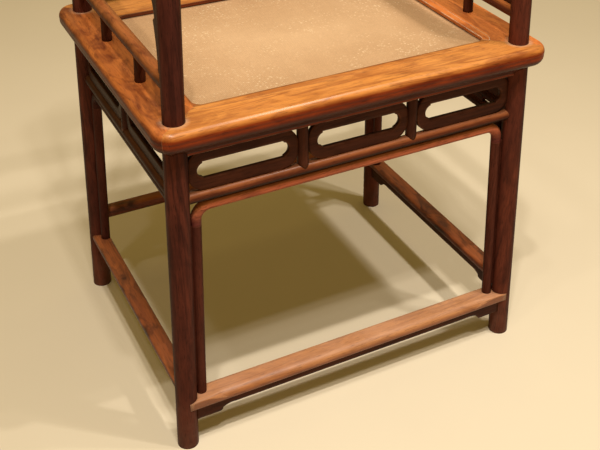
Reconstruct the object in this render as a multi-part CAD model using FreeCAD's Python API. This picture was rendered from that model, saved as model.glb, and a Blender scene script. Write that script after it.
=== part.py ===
import FreeCAD, Part
import math
import os

# Low-back armchair of round, leaning members with a woven seat, in millimetres.
# The origin is on the floor under the middle of the seat: +X is to the right seen
# from the front, +Y runs to the back and +Z is up.

# Legs, which run on through the seat frame as posts
seat_height = 500.0            # top of the seat frame
leg_inset_x = 32.0             # of the leg axes from the edges of the frame, at the top of the seat
leg_inset_y = 32.1
leg_splay_x = 25.7             # of each leg, from the top of the seat out to the floor
leg_splay_y = 20.5
foot_diameter = 30.0
leg_top_diameter = 30.0        # under the seat frame, where a shoulder carries the frame
post_diameter = 26.8           # through and just above the seat frame

# Seat frame of four mitred rails
frame_width = 552.0
frame_depth = 432.0
frame_thickness = 42.5
front_rail_width = 57.0
side_rail_width = 67.7
back_rail_width = 79.2
opening_corner_radius = 12.0
edge_ease = 6.0                # run of the rounded top arris
edge_fullness_drop = 13.0      # from the top down to the fullest point of the moulding
edge_turn_inset = 8.0          # where the rounded belly turns into the hollow under it
edge_turn_drop = 27.0
edge_hollow = 1.5              # depth of the hollow
lip_setback = 21.0             # of the small lip under the moulding
lip_height = 3.0
lip_corner_radius = 3.0        # in plan
mitre_tenon_length = 8.0
mitre_tenon_width = 15.0
mitre_tenon_thickness = 10.0
mitre_tenon_inset = 4.0        # from the inner edge of the rail

# Woven seat in its rebate
binding_width = 11.0
binding_thickness = 5.0
mat_thickness = 3.0
webbing_thickness = 2.5
brace_spacing = 150.0
brace_width = 26.0
brace_height = 18.0
brace_sag = 14.0
brace_drop = 3.0               # from the webbing to the ends of the brace
brace_tenon_length = 12.0
brace_tenon_thickness = 9.0
brace_tenon_width = 13.0

# Armrests and crest rail, bent down at their ends over the posts
arm_rise = 190.0               # of the armrest's axis above the seat
arm_diameter = 26.8
arm_bend_radius = 27.0
crest_rise = 340.0             # of the crest rail's axis above the seat
crest_diameter = 26.8
crest_bend_radius = 32.0
bend_end_length = 7.0          # straight end below the bend
post_tenon_width = 9.0
post_tenon_length = 18.0

# Low rails just above the seat, on short struts
low_rail_rise = 39.0           # of the low rail's axis above the seat
low_rail_diameter = 19.0
low_strut_diameter = 14.0
side_low_strut_spacing = 135.0
back_low_strut_spacing = 160.0

# Cusped arch aprons of the arms and the back
arch_apron_thickness = 9.0
strip_foot_width = 18.0
strip_nose_width = 28.0
strip_notch_depth = 5.0
strip_notch_height = 4.0
strip_swell = 2.5              # hollow of the strip's inner edge
arm_nose_drop = 84.0           # from the armrest's axis down to the nose of the strip
arm_head_depth = 26.0
arm_shoulder_run = 52.0
back_nose_drop = 132.0         # from the crest rail's axis down to the nose of the strip
back_head_depth = 38.0
back_shoulder_run = 70.0
peak_half_width = 46.0
peak_rise = 12.0
peak_dip_run = 15.0            # from the middle to the hollow beside the peak
peak_dip_rise = 4.0

# Base rails, struts and ring panels under the seat frame
base_rail_drop = 62.5          # of the base rail's axis below the seat frame
base_rail_diameter = 15.6
base_strut_diameter = 15.0
base_strut_spacing = 160.0     # of the two struts in front and at the back
panel_thickness = 6.5
panel_bar = 15.5               # upper and lower bars of a ring panel
panel_end_bar = 12.0
panel_corner_radius = 22.0
panel_scribe = 1.5             # cut off the panel where it is scribed to a leg
opening_bulge = 7.5            # length of the rounded end of a panel's opening
opening_shoulder = 2.0         # height of the small shoulders beside the rounded end
panel_tongue_depth = 4.0       # into the rail and the seat frame
panel_tongue_thickness = 3.0
panel_tongue_inset = 24.0      # from the ends of the panel

# Rod arches under the base rails of the front and the sides
rod_diameter = 14.6
rod_bend_radius = 19.5         # of the rod's axis
rod_reveal = 1.8               # between the rod and the rail or leg beside it
rod_setback = 4.5              # of the rod behind the axes of the rail and the legs
rod_web_thickness = 6.0
rod_tongue_depth = 4.5
rod_tongue_thickness = 3.0
rod_end_length = 6.0
rod_tenon_width = 6.0
rod_tenon_length = 6.0

# Stretchers, lowest in front and highest at the back
front_stretcher_height = 75.0
front_stretcher_width = 31.0
front_stretcher_thickness = 13.5
side_stretcher_height = 102.0
side_stretcher_width = 26.0
side_stretcher_thickness = 14.0
back_stretcher_height = 143.0
back_stretcher_width = 20.0
back_stretcher_thickness = 18.0
stretcher_round = 5.5          # of the arrises of the side and back stretchers
foot_rest_round = 1.5          # of the arrises of the front one
foot_wear_round = 11.0         # of its outer top arris, where feet have worn it
foot_wear_gap = 6.0            # left square beside each leg
foot_wear_run = 44.0           # slanting run-out of the worn stretch

# Shaped aprons under the front and side stretchers
apron_thickness = 8.0
apron_tongue = 4.0
apron_tongue_thickness = 4.0
front_apron_inset = 5.0        # behind the outer face of the stretcher
side_apron_inset = 13.0
apron_drop = 13.0
apron_end_drop = 22.0
apron_end_length = 54.0
apron_lobe_length = 34.0
apron_lobe_round = 5.0

# Tenons and fits
rail_tenon_height = 10.0
rail_tenon_thickness = 6.0
stretcher_tenon_height = 8.0
stretcher_tenon_thickness = 10.0
strut_tenon_width = 7.0
strut_tenon_length = 9.0
tenon_web = 1.5                # wood left between tenons that meet in a leg
fit = 0.15                     # gap on each face of a tenon or tongue
end_gap = 0.8                  # gap at the end of a tenon or tongue
taper_limit = 0.01             # a rod whose ends differ by less is straight

V = FreeCAD.Vector
seat_spacing_x = frame_width - 2 * leg_inset_x    # between leg axes at the top of the seat
seat_spacing_y = frame_depth - 2 * leg_inset_y
foot_spacing_x = seat_spacing_x + 2 * leg_splay_x
foot_spacing_y = seat_spacing_y + 2 * leg_splay_y
frame_bottom = seat_height - frame_thickness
base_rail_height = frame_bottom - base_rail_drop
low_rail_height = seat_height + low_rail_rise
arm_height = seat_height + arm_rise
crest_height = seat_height + crest_rise
frame_corner_radius = lip_setback + lip_corner_radius
opening_half_width = frame_width / 2 - side_rail_width
opening_front = -frame_depth / 2 + front_rail_width
opening_back = frame_depth / 2 - back_rail_width
rebate_depth = binding_thickness + mat_thickness + webbing_thickness
reach = frame_width + frame_depth + crest_height   # larger than the chair, for trimming

corners = {"front_left": (-1, -1), "front_right": (1, -1), "back_left": (-1, 1), "back_right": (1, 1)}
# Each side of the chair by its left and right legs, seen from outside
sides = {
    "front": ("front_left", "front_right"),
    "right": ("front_right", "back_right"),
    "back": ("back_right", "back_left"),
    "left": ("back_left", "front_left"),
}
pieces = {}
pockets = {}


def add_pocket(name, shape):
    pockets.setdefault(name, []).append(shape)


def group(solids):
    return Part.makeCompound(solids)


def largest(shape):
    return max(shape.Solids, key=lambda solid: solid.Volume)


def level_block(low, high):
    return Part.makeBox(reach, reach, high - low, V(-reach / 2, -reach / 2, low))


def block(u0, u1, v0, v1, w0, w1, grow=0.0):
    size = V(u1 - u0 + 2 * grow, v1 - v0 + 2 * grow, w1 - w0 + 2 * grow)
    return Part.makeBox(size.x, size.y, size.z, V(u0 - grow, v0 - grow, w0 - grow))


def rod_between(start, end, start_radius, end_radius):
    run = end - start
    if abs(start_radius - end_radius) < taper_limit:
        return Part.makeCylinder(start_radius, run.Length, start, run)
    return Part.makeCone(start_radius, end_radius, run.Length, start, run)


def plate(edges, thickness):
    face = Part.Face(Part.Wire(edges))
    face.translate(V(0, 0, -thickness / 2))
    return face.extrude(V(0, 0, thickness))


def line(start, end):
    return Part.makeLine(start, end)


def arc(start, middle, end):
    return Part.Arc(start, middle, end).toShape()


def quarter_arc(start, end, corner):
    # Round quarter from start to end that bulges towards the given corner
    centre = start + end - corner
    share = math.sqrt(0.5)
    middle = centre + (start - centre) * share + (end - centre) * share
    return arc(start, middle, end)


# Legs and posts


def leg_axis(corner, z):
    sign_x, sign_y = corners[corner]
    rise = z / seat_height
    spacing_x = foot_spacing_x + (seat_spacing_x - foot_spacing_x) * rise
    spacing_y = foot_spacing_y + (seat_spacing_y - foot_spacing_y) * rise
    return V(sign_x * spacing_x / 2, sign_y * spacing_y / 2, z)


def post_top(corner):
    # Height and diameter where the post ends under the bent end of its arm or crest rail
    if corner.startswith("front"):
        return arm_height - arm_bend_radius - bend_end_length, arm_diameter
    return crest_height - crest_bend_radius - bend_end_length, crest_diameter


def leg_diameter(corner, z):
    if z <= frame_bottom:
        return foot_diameter + (leg_top_diameter - foot_diameter) * z / frame_bottom
    if z <= seat_height:
        return post_diameter
    top, top_diameter = post_top(corner)
    return post_diameter + (top_diameter - post_diameter) * (z - seat_height) / (top - seat_height)


def leg_section(corner, low, high):
    low_radius = leg_diameter(corner, low) / 2
    high_radius = leg_diameter(corner, high) / 2
    return rod_between(leg_axis(corner, low), leg_axis(corner, high), low_radius, high_radius)


def make_leg(corner, frame_body):
    top = post_top(corner)[0]
    lower = leg_section(corner, -foot_diameter, frame_bottom)
    knee = leg_axis(corner, frame_bottom + foot_diameter)
    knee_radius = leg_top_diameter / 2
    lower = lower.fuse(rod_between(leg_axis(corner, frame_bottom), knee, knee_radius, knee_radius))
    # Beside its shoulder the leg is scribed to the hollow of the moulding
    lower = largest(lower.common(level_block(0, seat_height)).cut(frame_body))
    shank = rod_between(leg_axis(corner, frame_bottom - foot_diameter), leg_axis(corner, seat_height),
                        post_diameter / 2, post_diameter / 2)
    shank = shank.common(level_block(frame_bottom, seat_height + foot_diameter))
    post = leg_section(corner, seat_height, top)
    return lower.fuse([shank, post]).removeSplitter()


def tenon_on_post(corner, grow):
    start = leg_axis(corner, post_top(corner)[0])
    run = leg_axis(corner, crest_height) - leg_axis(corner, 0)
    length = post_tenon_length + (end_gap if grow else 0)
    half = post_tenon_width / 2 + grow
    tenon = block(-half, half, -half, half, -post_tenon_width, length)
    tenon.Placement = FreeCAD.Placement(start, FreeCAD.Rotation(V(0, 0, 1), run))
    return tenon


# Places on a leaning side of the chair: u runs along it, v up it and w out of it


def side_axes(side):
    left, right = sides[side]
    foot = (leg_axis(left, 0) + leg_axis(right, 0)) / 2
    head = (leg_axis(left, seat_height) + leg_axis(right, seat_height)) / 2
    along = leg_axis(right, 0) - leg_axis(left, 0)
    along.normalize()
    up = head - foot
    up.normalize()
    return foot, along, up, along.cross(up)


def on_side(shape, side):
    foot, along, up, out = side_axes(side)
    matrix = FreeCAD.Matrix(along.x, up.x, out.x, foot.x, along.y, up.y, out.y, foot.y,
                            along.z, up.z, out.z, foot.z, 0, 0, 0, 1)
    moved = shape.copy()
    moved.Placement = FreeCAD.Placement(matrix).multiply(shape.Placement)
    return moved


def up_side(side, z):
    return z / side_axes(side)[2].z


def half_span(side, z):
    left, right = sides[side]
    return (leg_axis(right, z) - leg_axis(left, z)).Length / 2


def clear_half(side, end, z):
    # From the middle of the side to the near face of the leg at that end
    corner = sides[side][0 if end < 0 else 1]
    return half_span(side, z) - leg_diameter(corner, z) / 2


def scribed(shape, side):
    for corner in sides[side]:
        shape = shape.cut(legs[corner])
    return shape


def tenoned_rail(name, side, z, bar, tenon_height, tenon_thickness):
    # A bar between two legs: shoulders scribed to the round legs, and a tenon at each end
    v = up_side(side, z)
    stop = half_span(side, z) - tenon_thickness / 2 - tenon_web
    low = v - tenon_height / 2
    high = v + tenon_height / 2
    half = tenon_thickness / 2
    core = block(-stop, stop, low, high, -half, half)
    pocket = block(-stop - end_gap + fit, stop + end_gap - fit, low, high, -half, half, fit)
    for corner in sides[side]:
        add_pocket("leg_" + corner, on_side(pocket, side))
    body = scribed(on_side(bar, side), side)
    pieces[name] = body.fuse(on_side(core, side)).removeSplitter()


def round_bar(side, z, diameter):
    half = half_span(side, z)
    return Part.makeCylinder(diameter / 2, 2 * half, V(-half, up_side(side, z), 0), V(1, 0, 0))


def strut(side, u, low, high, diameter, trims, low_name, high_name):
    # A short round strut with a square tenon at each end, trimmed by what it stands between
    v0 = up_side(side, low)
    v1 = up_side(side, high)
    body = on_side(Part.makeCylinder(diameter / 2, v1 - v0, V(u, v0, 0), V(0, 1, 0)), side)
    for trim in trims:
        body = body.cut(trim)
    half = strut_tenon_width / 2
    core = block(u - half, u + half, v0, v1, -half, half)
    pocket = block(u - half - fit, u + half + fit, v0 - end_gap, v1 + end_gap, -half - fit, half + fit)
    for name in (low_name, high_name):
        add_pocket(name, on_side(pocket, side))
    return body.fuse(on_side(core, side)).removeSplitter()


# Seat frame


def rounded_rectangle(x0, x1, y0, y1, radius, z):
    edges = [
        line(V(x0 + radius, y0, z), V(x1 - radius, y0, z)),
        quarter_arc(V(x1 - radius, y0, z), V(x1, y0 + radius, z), V(x1, y0, z)),
        line(V(x1, y0 + radius, z), V(x1, y1 - radius, z)),
        quarter_arc(V(x1, y1 - radius, z), V(x1 - radius, y1, z), V(x1, y1, z)),
        line(V(x1 - radius, y1, z), V(x0 + radius, y1, z)),
        quarter_arc(V(x0 + radius, y1, z), V(x0, y1 - radius, z), V(x0, y1, z)),
        line(V(x0, y1 - radius, z), V(x0, y0 + radius, z)),
        quarter_arc(V(x0, y0 + radius, z), V(x0 + radius, y0, z), V(x0, y0, z)),
    ]
    return Part.Face(Part.Wire(edges))


def seat_slab(inset, low, high, radius):
    # A level slab over the seat opening, grown by the inset on all sides
    face = rounded_rectangle(-opening_half_width - inset, opening_half_width + inset, opening_front - inset,
                             opening_back + inset, radius, low)
    return face.extrude(V(0, 0, high - low))


def edge_band():
    # Section of the frame's outer edge, from its outermost face at x = 0 inwards
    full = seat_height - edge_fullness_drop
    turn = V(edge_turn_inset, 0, seat_height - edge_turn_drop)
    lip = V(lip_setback, 0, frame_bottom + lip_height)
    across = (lip - turn).normalize()
    hollow = (turn + lip) / 2 + V(-across.z, 0, across.x) * edge_hollow
    inner = frame_corner_radius
    edges = [
        line(V(inner, 0, seat_height), V(edge_ease, 0, seat_height)),
        quarter_arc(V(edge_ease, 0, seat_height), V(0, 0, full), V(0, 0, seat_height)),
        quarter_arc(V(0, 0, full), turn, V(0, 0, turn.z)),
        arc(turn, hollow, lip),
        line(lip, V(lip_setback, 0, frame_bottom)),
        line(V(lip_setback, 0, frame_bottom), V(inner, 0, frame_bottom)),
        line(V(inner, 0, frame_bottom), V(inner, 0, seat_height)),
    ]
    return Part.Face(Part.Wire(edges))


def make_frame_body():
    # The four rails as one, before the opening, the rebate and the holes for the posts
    half_x = frame_width / 2
    half_y = frame_depth / 2
    radius = frame_corner_radius
    inner_x = half_x - radius
    inner_y = half_y - radius
    core = block(-inner_x, inner_x, -inner_y, inner_y, frame_bottom, seat_height)
    solids = []
    for quarter_turns in range(len(sides)):
        half_along, half_across = (half_x, half_y) if quarter_turns % 2 else (half_y, half_x)
        run = edge_band().extrude(V(0, 2 * (half_along - radius), 0))
        run.translate(V(-half_across, -half_along + radius, 0))
        bend = edge_band().revolve(V(radius, 0, 0), V(0, 0, 1), 90)
        bend.translate(V(-half_across, -half_along + radius, 0))
        for solid in (run, bend):
            solid.rotate(V(0, 0, 0), V(0, 0, 1), 90 * quarter_turns)
            solids.append(solid)
    return core.fuse(solids).removeSplitter()


def frame_blank(frame_body):
    blank = frame_body.cut(seat_slab(0, frame_bottom, seat_height, opening_corner_radius))
    blank = blank.cut(seat_slab(binding_width, seat_height - rebate_depth, seat_height,
                                opening_corner_radius + binding_width))
    for corner in corners:
        low = leg_axis(corner, frame_bottom - foot_diameter)
        high = leg_axis(corner, seat_height + foot_diameter)
        hole_radius = post_diameter / 2 + fit
        blank = blank.cut(rod_between(low, high, hole_radius, hole_radius))
    return blank


def mitre_wedge(rail):
    # The quarter of the frame's plan that belongs to one rail, bounded by its mitres
    outer = {name: V(sx * frame_width / 2, sy * frame_depth / 2, 0) for name, (sx, sy) in corners.items()}
    inner = {name: V(sx * opening_half_width, opening_front if sy < 0 else opening_back, 0)
             for name, (sx, sy) in corners.items()}
    left, right = sides[rail]
    points = []
    for name in (left, right):
        lean = (outer[name] - inner[name]) / 2
        ends = [outer[name] + lean, inner[name] - lean]
        points += ends if name == left else ends[::-1]
    face = Part.Face(Part.makePolygon(points + points[:1]))
    return face.extrude(V(0, 0, reach))


def mitre_tenon(sign_x, sign_y, grow):
    # Tenon of a front or back rail that runs through the mitre into the side rail
    edge = -opening_front if sign_y < 0 else opening_back
    rail_width = front_rail_width if sign_y < 0 else back_rail_width
    across = edge + mitre_tenon_inset + mitre_tenon_width / 2
    start = opening_half_width + (across - edge) * side_rail_width / rail_width
    middle = frame_bottom + (frame_thickness - rebate_depth) / 2
    length = mitre_tenon_length + (end_gap if grow else 0)
    half_width = mitre_tenon_width / 2 + grow
    half_height = mitre_tenon_thickness / 2 + grow
    box = block(start - mitre_tenon_width, start + length, across - half_width, across + half_width,
                middle - half_height, middle + half_height)
    if sign_x < 0:
        box = box.mirror(V(0, 0, 0), V(1, 0, 0))
    if sign_y < 0:
        box = box.mirror(V(0, 0, 0), V(0, 1, 0))
    return box


def make_seat_frame(frame_body):
    blank = frame_blank(frame_body)
    for side in sides:
        pieces["seat_rail_" + side] = blank.common(mitre_wedge(side))
    for sign_y, side in ((-1, "front"), (1, "back")):
        for sign_x, neighbour in ((-1, "left"), (1, "right")):
            tenon = mitre_tenon(sign_x, sign_y, 0)
            pieces["seat_rail_" + side] = pieces["seat_rail_" + side].fuse(tenon)
            add_pocket("seat_rail_" + neighbour, mitre_tenon(sign_x, sign_y, fit))
    for side in ("front", "back"):
        pieces["seat_rail_" + side] = pieces["seat_rail_" + side].removeSplitter()


def make_woven_seat():
    top = seat_height - binding_thickness
    radius = opening_corner_radius + binding_width
    inset = binding_width - fit
    mat_bottom = top - mat_thickness
    pieces["cane_mat"] = seat_slab(inset, mat_bottom, top, radius - fit)
    pieces["coir_webbing"] = seat_slab(inset, mat_bottom - webbing_thickness, mat_bottom, radius - fit)
    ring = seat_slab(inset, top, seat_height, radius - fit)
    ring = ring.cut(seat_slab(0, top, seat_height, opening_corner_radius))
    for side in sides:
        pieces["binding_strip_" + side] = ring.common(mitre_wedge(side))


def brace_outline(y0, y1, top, sag):
    middle = (y0 + y1) / 2
    ends = [V(0, y0, top), V(0, y1, top)]
    low_ends = [V(0, y0, top - brace_height), V(0, y1, top - brace_height)]
    edges = [
        arc(ends[0], V(0, middle, top - sag), ends[1]),
        line(ends[1], low_ends[1]),
        arc(low_ends[1], V(0, middle, top - brace_height - sag), low_ends[0]),
        line(low_ends[0], ends[0]),
    ]
    return Part.Face(Part.Wire(edges))


def make_braces():
    # Bowed braces from front to back, low enough in the middle for the webbing to give
    top = seat_height - rebate_depth - brace_drop
    middle = top - brace_height / 2
    half = brace_tenon_thickness / 2
    for name, x in (("left", -brace_spacing / 2), ("right", brace_spacing / 2)):
        face = brace_outline(opening_front, opening_back, top, brace_sag)
        face.translate(V(x - brace_width / 2, 0, 0))
        body = face.extrude(V(brace_width, 0, 0))
        for start, sign, rail in ((opening_front, -1, "front"), (opening_back, 1, "back")):
            tip = start + sign * brace_tenon_length
            root = start - sign * brace_height / 2
            low, high = sorted((root, tip))
            left = x - brace_tenon_width / 2
            right = x + brace_tenon_width / 2
            body = body.fuse(block(left, right, low, high, middle - half, middle + half))
            pocket_low, pocket_high = sorted((root, tip + sign * end_gap))
            pocket = block(left - fit, right + fit, pocket_low, pocket_high, middle - half - fit,
                           middle + half + fit)
            add_pocket("seat_rail_" + rail, pocket)
        pieces["seat_brace_" + name] = body.removeSplitter()


# Armrests, crest rail and low rails


def bent_path(points, bend_radius):
    # Straight runs with rounded bends between them
    edges = []
    start = points[0]
    for before, bend, after in zip(points, points[1:], points[2:]):
        inward = (before - bend).normalize()
        onward = (after - bend).normalize()
        half_angle = inward.getAngle(onward) / 2
        reach_back = bend_radius / math.tan(half_angle)
        first = bend + inward * reach_back
        last = bend + onward * reach_back
        bisector = (inward + onward).normalize()
        middle = bend + bisector * (bend_radius / math.sin(half_angle) - bend_radius)
        edges += [line(start, first), arc(first, middle, last)]
        start = last
    edges.append(line(start, points[-1]))
    return Part.Wire(edges)


def bent_rod(points, radius, bend_radius):
    section = Part.Face(Part.Wire(Part.makeCircle(radius, points[0], points[1] - points[0])))
    return bent_path(points, bend_radius).makePipe(section)


def make_arms_and_crest():
    crest_points = [leg_axis("back_left", post_top("back_left")[0]), leg_axis("back_left", crest_height),
                    leg_axis("back_right", crest_height), leg_axis("back_right", post_top("back_right")[0])]
    crest = bent_rod(crest_points, crest_diameter / 2, crest_bend_radius)
    pieces["crest_rail"] = crest
    for corner in ("back_left", "back_right"):
        add_pocket("crest_rail", tenon_on_post(corner, fit))
    for hand in ("left", "right"):
        front = "front_" + hand
        back = "back_" + hand
        post_end = leg_axis(front, post_top(front)[0])
        points = [post_end, leg_axis(front, arm_height), leg_axis(back, arm_height)]
        arm = bent_rod(points, arm_diameter / 2, arm_bend_radius).cut(legs[back])
        sign = -1 if hand == "left" else 1
        v = up_side(hand, arm_height)
        half = rail_tenon_thickness / 2
        stop = half_span(hand, arm_height) - half - tenon_web
        # Seen from outside, the back leg is on the left of the left side and on the right of the right one
        far, near = sorted((sign * stop, 0))
        low = v - rail_tenon_height / 2
        high = v + rail_tenon_height / 2
        core = block(far, near, low, high, -half, half)
        pocket = block(far - end_gap + fit, near + end_gap - fit, low, high, -half, half, fit)
        pieces["armrest_" + hand] = arm.fuse(on_side(core, hand)).removeSplitter()
        add_pocket("leg_" + back, on_side(pocket, hand))
        add_pocket("armrest_" + hand, tenon_on_post(front, fit))


def make_low_rails():
    under_seat_top = level_block(0, seat_height)
    for side, spacing in (("left", side_low_strut_spacing), ("right", side_low_strut_spacing),
                          ("back", back_low_strut_spacing)):
        bar = round_bar(side, low_rail_height, low_rail_diameter)
        name = "low_rail_" + side
        tenoned_rail(name, side, low_rail_height, bar, rail_tenon_height, rail_tenon_thickness)
        trims = [under_seat_top, on_side(bar, side)]
        foot = seat_height - strut_tenon_length
        struts = [strut(side, u, foot, low_rail_height, low_strut_diameter, trims, "seat_rail_" + side, name)
                  for u in (-spacing / 2, spacing / 2)]
        pieces["low_struts_" + side] = group(struts)


# Cusped arch aprons in the arms and the back


def cusped_half(side, end, low, nose, head, shoulder_run):
    # Edges of the arch's opening from the middle of its foot to the peak, at one end
    def inset(z, width):
        return V(end * (clear_half(side, end, z) - width), up_side(side, z), 0)

    foot = inset(low, strip_foot_width)
    nose_tip = inset(nose, strip_nose_width)
    notch = inset(nose + strip_notch_height, strip_nose_width - strip_notch_depth)
    shoulder = V(notch.x - end * shoulder_run, up_side(side, head), 0)
    peak_start = V(end * peak_half_width, up_side(side, head), 0)
    peak = V(0, up_side(side, head) + peak_rise, 0)
    swell = (foot + nose_tip) / 2 + V(end * strip_swell, 0, 0)
    dip = V(end * peak_dip_run, up_side(side, head) + peak_dip_rise, 0)
    return [
        line(V(0, foot.y, 0), foot),
        arc(foot, swell, nose_tip),
        line(nose_tip, notch),
        quarter_arc(notch, shoulder, V(notch.x, shoulder.y, 0)),
        line(shoulder, peak_start),
        arc(peak_start, dip, peak),
    ]


def arch_apron(side, upper, upper_height, upper_diameter, nose_drop, head_depth, shoulder_run):
    # Thin board fitted between two posts, a low rail and the rail above, in a head and two mitred strips
    half = half_span(side, low_rail_height)
    low = up_side(side, low_rail_height)
    high = up_side(side, upper_height)
    nose = upper_height - nose_drop
    head = upper_height - upper_diameter / 2 - head_depth
    right = cusped_half(side, 1, low_rail_height, nose, head, shoulder_run)
    left = cusped_half(side, -1, low_rail_height, nose, head, shoulder_run)
    opening = plate(Part.sortEdges(right + left)[0], 2 * arch_apron_thickness)
    outline = Part.makePolygon([V(-half, low, 0), V(half, low, 0), V(half_span(side, upper_height), high, 0),
                                V(-half_span(side, upper_height), high, 0), V(-half, low, 0)])
    board = plate(outline.Edges, arch_apron_thickness).cut(opening)
    board = scribed(on_side(board, side), side).cut(upper)
    board = board.cut(on_side(round_bar(side, low_rail_height, low_rail_diameter), side))
    for hand in ("left", "right"):
        board = board.cut(pieces["armrest_" + hand])
    # What lies outside the bends of the rail above falls away
    board = largest(board)
    run = high - low
    strips = []
    for end in (-1, 1):
        corner = V(end * half_span(side, upper_height), high, 0)
        foot = V(end * half, low, 0)
        mitre = Part.makePolygon([corner, foot, V(corner.x - end * run, low, 0), corner])
        wedge = on_side(plate(mitre.Edges, 2 * arch_apron_thickness), side)
        strips.append(board.common(wedge))
        board = board.cut(wedge)
    return board, strips


def make_arch_aprons():
    head, strips = arch_apron("back", pieces["crest_rail"], crest_height, crest_diameter, back_nose_drop,
                              back_head_depth, back_shoulder_run)
    pieces["back_arch_head"] = head
    pieces["back_arch_strip_right"], pieces["back_arch_strip_left"] = strips
    for hand in ("left", "right"):
        head, strips = arch_apron(hand, pieces["armrest_" + hand], arm_height, arm_diameter, arm_nose_drop,
                                  arm_head_depth, arm_shoulder_run)
        pieces["arm_arch_head_" + hand] = head
        pieces["arm_arch_strips_" + hand] = group(strips)


# Base rails with their struts and ring panels


def shouldered_opening(u0, u1, v0, v1):
    # Outline of a panel's opening: each end bulges out between two small shoulders
    left = u0 + opening_bulge
    right = u1 - opening_bulge
    low = v0 + opening_shoulder
    high = v1 - opening_shoulder
    middle = (v0 + v1) / 2
    return [
        line(V(left, v0, 0), V(right, v0, 0)),
        line(V(right, v0, 0), V(right, low, 0)),
        arc(V(right, low, 0), V(u1, middle, 0), V(right, high, 0)),
        line(V(right, high, 0), V(right, v1, 0)),
        line(V(right, v1, 0), V(left, v1, 0)),
        line(V(left, v1, 0), V(left, high, 0)),
        arc(V(left, high, 0), V(u0, middle, 0), V(left, low, 0)),
        line(V(left, low, 0), V(left, v0, 0)),
    ]


def ring_panel(u0, u1, v0, v1):
    # Ring with rounded ends round a shouldered opening
    outline = rounded_rectangle(u0, u1, v0, v1, panel_corner_radius, -panel_thickness / 2)
    ring = outline.extrude(V(0, 0, panel_thickness))
    opening = shouldered_opening(u0 + panel_end_bar, u1 - panel_end_bar, v0 + panel_bar, v1 - panel_bar)
    return ring.cut(plate(opening, 2 * panel_thickness))


def make_base(side, strut_places):
    rail_name = "base_rail_" + side
    bar = round_bar(side, base_rail_height, base_rail_diameter)
    tenoned_rail(rail_name, side, base_rail_height, bar, rail_tenon_height, rail_tenon_thickness)
    over = level_block(frame_bottom, seat_height)
    rail_solid = on_side(bar, side)
    struts = [strut(side, u, base_rail_height, frame_bottom + strut_tenon_length, base_strut_diameter,
                    [over, rail_solid], rail_name, "seat_rail_" + side) for u in strut_places]
    pieces["base_struts_" + side] = group(struts)
    v0 = up_side(side, base_rail_height) + base_rail_diameter / 2
    v1 = up_side(side, frame_bottom)
    middle = (base_rail_height + frame_bottom) / 2
    first = -clear_half(side, -1, middle) - panel_scribe
    last = clear_half(side, 1, middle) + panel_scribe
    ends = [first] + list(strut_places) + [last]
    panels = []
    for index in range(len(ends) - 1):
        left = ends[index] + (base_strut_diameter / 2 if index > 0 else 0)
        right = ends[index + 1] - (base_strut_diameter / 2 if index < len(ends) - 2 else 0)
        ring = on_side(ring_panel(left, right, v0, v1), side)
        ring = scribed(ring, side).cut(over)
        half = panel_tongue_thickness / 2
        for low, high, name in ((v0 - panel_tongue_depth, v0 + panel_bar / 2, rail_name),
                                (v1 - panel_bar / 2, v1 + panel_tongue_depth, "seat_rail_" + side)):
            tongue = block(left + panel_tongue_inset, right - panel_tongue_inset, low, high, -half, half)
            groove = block(left + panel_tongue_inset - fit, right - panel_tongue_inset + fit, low - end_gap,
                           high + end_gap, -half - fit, half + fit)
            ring = ring.fuse(on_side(tongue, side))
            add_pocket(name, on_side(groove, side))
        panels.append(ring.removeSplitter())
    pieces["ring_panels_" + side] = group(panels)


# Stretchers and their aprons


def stretcher_bar(side, z, width, thickness, ease):
    # Square in section with rounded arrises
    half = half_span(side, z)
    low = up_side(side, z) - thickness / 2
    face = rounded_rectangle(-width / 2, width / 2, low, low + thickness, ease, 0)
    bar = face.extrude(V(0, 0, 2 * half))
    bar.Placement = FreeCAD.Placement(FreeCAD.Matrix(0, 0, 1, -half, 0, 1, 0, 0, -1, 0, 0, 0, 0, 0, 0, 1))
    return bar


def foot_wear(side, z, width, thickness):
    # What feet have worn off the outer top arris, running out in a slope at each end
    worn = foot_wear_round
    outer = width / 2
    inner = outer - worn
    beyond = outer + worn
    high = up_side(side, z) + thickness / 2
    low = high - worn
    half = clear_half(side, 1, z) - foot_wear_gap
    round_start = V(-half, low, outer)
    round_end = V(-half, high, inner)
    rest = [round_end, V(-half, high + worn, inner), V(-half, high + worn, beyond), V(-half, low, beyond),
            round_start]
    edges = [quarter_arc(round_start, round_end, V(-half, high, outer))] + Part.makePolygon(rest).Edges
    stretch = Part.Face(Part.Wire(edges)).extrude(V(2 * half, 0, 0))
    slope = foot_wear_run / worn
    for end in (-1, 1):
        unworn = block(-reach, reach, -reach, reach, 0, reach)
        lean = FreeCAD.Rotation(V(0, 0, 1), V(end, -slope, -slope))
        unworn.Placement = FreeCAD.Placement(V(end * half, high, outer), lean)
        stretch = stretch.cut(unworn)
    return stretch


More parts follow.
